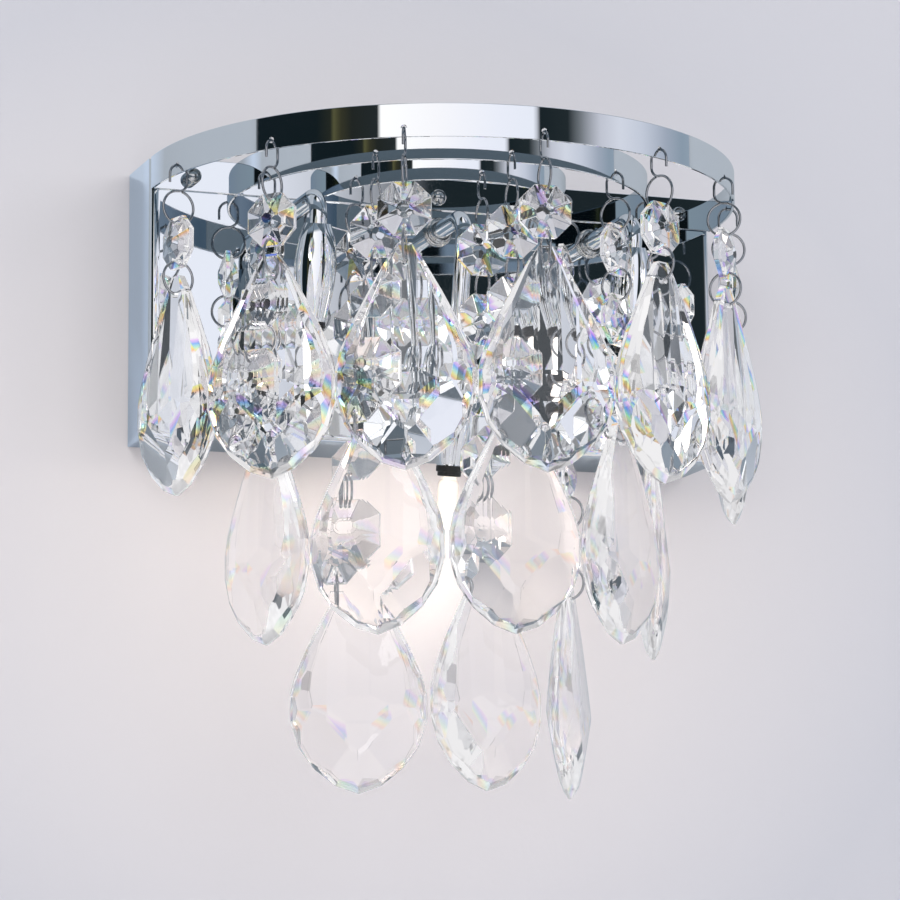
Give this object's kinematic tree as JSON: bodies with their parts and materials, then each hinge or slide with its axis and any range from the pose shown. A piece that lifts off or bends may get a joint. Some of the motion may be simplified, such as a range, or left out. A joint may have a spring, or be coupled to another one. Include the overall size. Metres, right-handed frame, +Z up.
{
  "type": "crystal wall sconce",
  "caption": "Chrome wall sconce with a pan, half round bands and strings of octagon beads and pear drops round capsule lamps.",
  "frame": {"origin": "centre of the open wall face of the back pan", "axes": "+Y out of the wall face into the wall, +Z up, the lamps and crystals face -Y"},
  "size_m": [0.2556, 0.1603, 0.2524],
  "materials": {
    "chrome": "polished",
    "crystal": "polished",
    "lamp_glass": "clear",
    "black_plastic": "matte",
    "zinc_steel": "zinc plated",
    "block_plastic": "matte",
    "white_plastic": "satin"
  },
  "bodies": {
    "wall_frame": {"back_pan": "chrome", "outer_band": "chrome", "middle_band": "chrome", "inner_band": "chrome", "side_lamp_arms": "chrome", "centre_lamp_arm": "chrome", "lamp_cups": "chrome", "lampholders": "black_plastic", "lamps": "lamp_glass", "arm_fixings": "chrome", "wall_bracket": "zinc_steel", "cap_nuts": "chrome", "band_screw": "chrome", "terminal_block": "block_plastic", "lamp_driver": "white_plastic"},
    "outer_1_string": {"outer_1_wires": "chrome", "outer_1_beads": "crystal"},
    "outer_1_pendant": {"outer_1_drop": "crystal"},
    "outer_2_string": {"outer_2_wires": "chrome", "outer_2_beads": "crystal"},
    "outer_2_pendant": {"outer_2_drop": "crystal"},
    "outer_3_string": {"outer_3_wires": "chrome", "outer_3_beads": "crystal"},
    "outer_3_pendant": {"outer_3_drop": "crystal"},
    "outer_4_string": {"outer_4_wires": "chrome", "outer_4_beads": "crystal"},
    "outer_4_pendant": {"outer_4_drop": "crystal"},
    "outer_5_string": {"outer_5_wires": "chrome", "outer_5_beads": "crystal"},
    "outer_5_pendant": {"outer_5_drop": "crystal"},
    "outer_6_string": {"outer_6_wires": "chrome", "outer_6_beads": "crystal"},
    "outer_6_pendant": {"outer_6_drop": "crystal"},
    "outer_7_string": {"outer_7_wires": "chrome", "outer_7_beads": "crystal"},
    "outer_7_pendant": {"outer_7_drop": "crystal"},
    "middle_1_string": {"middle_1_wires": "chrome", "middle_1_beads": "crystal"},
    "middle_1_pendant": {"middle_1_drop": "crystal"},
    "middle_2_string": {"middle_2_wires": "chrome", "middle_2_beads": "crystal"},
    "middle_2_pendant": {"middle_2_drop": "crystal"},
    "middle_3_string": {"middle_3_wires": "chrome", "middle_3_beads": "crystal"},
    "middle_3_pendant": {"middle_3_drop": "crystal"},
    "middle_4_string": {"middle_4_wires": "chrome", "middle_4_beads": "crystal"},
    "middle_4_pendant": {"middle_4_drop": "crystal"},
    "middle_5_string": {"middle_5_wires": "chrome", "middle_5_beads": "crystal"},
    "middle_5_pendant": {"middle_5_drop": "crystal"},
    "inner_1_string": {"inner_1_wires": "chrome", "inner_1_beads": "crystal"},
    "inner_1_pendant": {"inner_1_drop": "crystal"},
    "inner_2_string": {"inner_2_wires": "chrome", "inner_2_beads": "crystal"},
    "inner_2_pendant": {"inner_2_drop": "crystal"},
    "inner_3_string": {"inner_3_wires": "chrome", "inner_3_beads": "crystal"},
    "inner_3_pendant": {"inner_3_drop": "crystal"}
  },
  "joints": [
    {"name": "outer_1_swing", "type": "hinge", "parent": "wall_frame", "child": "outer_1_string", "pos_m": [-0.11641, -0.05857, 0.046], "axis": [-0.2225, 0.9749, 0], "range_deg": [-0.5, 25]},
    {"name": "outer_1_drop_swing", "type": "hinge", "parent": "outer_1_string", "child": "outer_1_pendant", "pos_m": [-0.11641, -0.05857, -0.0057], "axis": [-0.29, 0.957, 0], "range_deg": [-0.5, 6]},
    {"name": "outer_2_swing", "type": "hinge", "parent": "wall_frame", "child": "outer_2_string", "pos_m": [-0.09335, -0.10644, 0.046], "axis": [-0.6235, 0.7818, 0], "range_deg": [-0.5, 25]},
    {"name": "outer_2_drop_swing", "type": "hinge", "parent": "outer_2_string", "child": "outer_2_pendant", "pos_m": [-0.09335, -0.10644, -0.0057], "axis": [-0.7498, 0.6617, 0], "range_deg": [-0.5, 6]},
    {"name": "outer_3_swing", "type": "hinge", "parent": "wall_frame", "child": "outer_3_string", "pos_m": [-0.05181, -0.13958, 0.046], "axis": [-0.901, 0.4339, 0], "range_deg": [-0.5, 25]},
    {"name": "outer_3_drop_swing", "type": "hinge", "parent": "outer_3_string", "child": "outer_3_pendant", "pos_m": [-0.05181, -0.13958, -0.0057], "axis": [-0.901, 0.4339, 0], "range_deg": [-0.5, 6]},
    {"name": "outer_4_swing", "type": "hinge", "parent": "wall_frame", "child": "outer_4_string", "pos_m": [0, -0.1514, 0.046], "axis": [-1, 0, 0], "range_deg": [-0.5, 25]},
    {"name": "outer_4_drop_swing", "type": "hinge", "parent": "outer_4_string", "child": "outer_4_pendant", "pos_m": [0, -0.1514, -0.0057], "axis": [-0.9925, 0.1219, 0], "range_deg": [-0.5, 6]},
    {"name": "outer_5_swing", "type": "hinge", "parent": "wall_frame", "child": "outer_5_string", "pos_m": [0.05181, -0.13958, 0.046], "axis": [-0.901, -0.4339, 0], "range_deg": [-0.5, 25]},
    {"name": "outer_5_drop_swing", "type": "hinge", "parent": "outer_5_string", "child": "outer_5_pendant", "pos_m": [0.05181, -0.13958, -0.0057], "axis": [-0.901, -0.4339, 0], "range_deg": [-0.5, 6]},
    {"name": "outer_6_swing", "type": "hinge", "parent": "wall_frame", "child": "outer_6_string", "pos_m": [0.09335, -0.10644, 0.046], "axis": [-0.6235, -0.7818, 0], "range_deg": [-0.5, 25]},
    {"name": "outer_6_drop_swing", "type": "hinge", "parent": "outer_6_string", "child": "outer_6_pendant", "pos_m": [0.09335, -0.10644, -0.0057], "axis": [-0.7724, -0.6351, 0], "range_deg": [-0.5, 6]},
    {"name": "outer_7_swing", "type": "hinge", "parent": "wall_frame", "child": "outer_7_string", "pos_m": [0.11641, -0.05857, 0.046], "axis": [-0.2225, -0.9749, 0], "range_deg": [-0.5, 25]},
    {"name": "outer_7_drop_swing", "type": "hinge", "parent": "outer_7_string", "child": "outer_7_pendant", "pos_m": [0.11641, -0.05857, -0.0057], "axis": [-0.2225, -0.9749, 0], "range_deg": [-0.5, 6]},
    {"name": "middle_1_swing", "type": "hinge", "parent": "wall_frame", "child": "middle_1_string", "pos_m": [-0.08027, -0.05808, 0.046], "axis": [-0.309, 0.9511, 0], "range_deg": [-0.3, 5]},
    {"name": "middle_1_drop_swing", "type": "hinge", "parent": "middle_1_string", "child": "middle_1_pendant", "pos_m": [-0.08027, -0.05808, -0.0619], "axis": [-0.309, 0.9511, 0], "range_deg": [-0.3, 5]},
    {"name": "middle_2_swing", "type": "hinge", "parent": "wall_frame", "child": "middle_2_string", "pos_m": [-0.04961, -0.10028, 0.046], "axis": [-0.809, 0.5878, 0], "range_deg": [-0.3, 5]},
    {"name": "middle_2_drop_swing", "type": "hinge", "parent": "middle_2_string", "child": "middle_2_pendant", "pos_m": [-0.04961, -0.10028, -0.0619], "axis": [-0.809, 0.5878, 0], "range_deg": [-0.3, 5]},
    {"name": "middle_3_swing", "type": "hinge", "parent": "wall_frame", "child": "middle_3_string", "pos_m": [0, -0.1164, 0.046], "axis": [-1, 0, 0], "range_deg": [-0.3, 5]},
    {"name": "middle_3_drop_swing", "type": "hinge", "parent": "middle_3_string", "child": "middle_3_pendant", "pos_m": [0, -0.1164, -0.0619], "axis": [-1, 0, 0], "range_deg": [-0.3, 5]},
    {"name": "middle_4_swing", "type": "hinge", "parent": "wall_frame", "child": "middle_4_string", "pos_m": [0.04961, -0.10028, 0.046], "axis": [-0.809, -0.5878, 0], "range_deg": [-0.3, 5]},
    {"name": "middle_4_drop_swing", "type": "hinge", "parent": "middle_4_string", "child": "middle_4_pendant", "pos_m": [0.04961, -0.10028, -0.0619], "axis": [-0.809, -0.5878, 0], "range_deg": [-0.3, 5]},
    {"name": "middle_5_swing", "type": "hinge", "parent": "wall_frame", "child": "middle_5_string", "pos_m": [0.08027, -0.05808, 0.046], "axis": [-0.309, -0.9511, 0], "range_deg": [-0.3, 5]},
    {"name": "middle_5_drop_swing", "type": "hinge", "parent": "middle_5_string", "child": "middle_5_pendant", "pos_m": [0.08027, -0.05808, -0.0619], "axis": [-0.309, -0.9511, 0], "range_deg": [-0.3, 5]},
    {"name": "inner_1_swing", "type": "hinge", "parent": "wall_frame", "child": "inner_1_string", "pos_m": [-0.04359, -0.05924, 0.046], "axis": [-0.5299, 0.848, 0], "range_deg": [-0.2, 4]},
    {"name": "inner_1_drop_swing", "type": "hinge", "parent": "inner_1_string", "child": "inner_1_pendant", "pos_m": [-0.04359, -0.05924, -0.1181], "axis": [-0.9272, 0.3746, 0], "range_deg": [-0.2, 3]},
    {"name": "inner_2_swing", "type": "hinge", "parent": "wall_frame", "child": "inner_2_string", "pos_m": [0, -0.0834, 0.046], "axis": [-1, 0, 0], "range_deg": [-0.2, 4]},
    {"name": "inner_2_drop_swing", "type": "hinge", "parent": "inner_2_string", "child": "inner_2_pendant", "pos_m": [0, -0.0834, -0.1181], "axis": [-0.9511, -0.309, 0], "range_deg": [-0.2, 3]},
    {"name": "inner_3_swing", "type": "hinge", "parent": "wall_frame", "child": "inner_3_string", "pos_m": [0.04359, -0.05924, 0.046], "axis": [-0.5299, -0.848, 0], "range_deg": [-0.2, 4]},
    {"name": "inner_3_drop_swing", "type": "hinge", "parent": "inner_3_string", "child": "inner_3_pendant", "pos_m": [0.04359, -0.05924, -0.1181], "axis": [-0.5299, -0.848, 0], "range_deg": [-0.2, 3]}
  ]
}
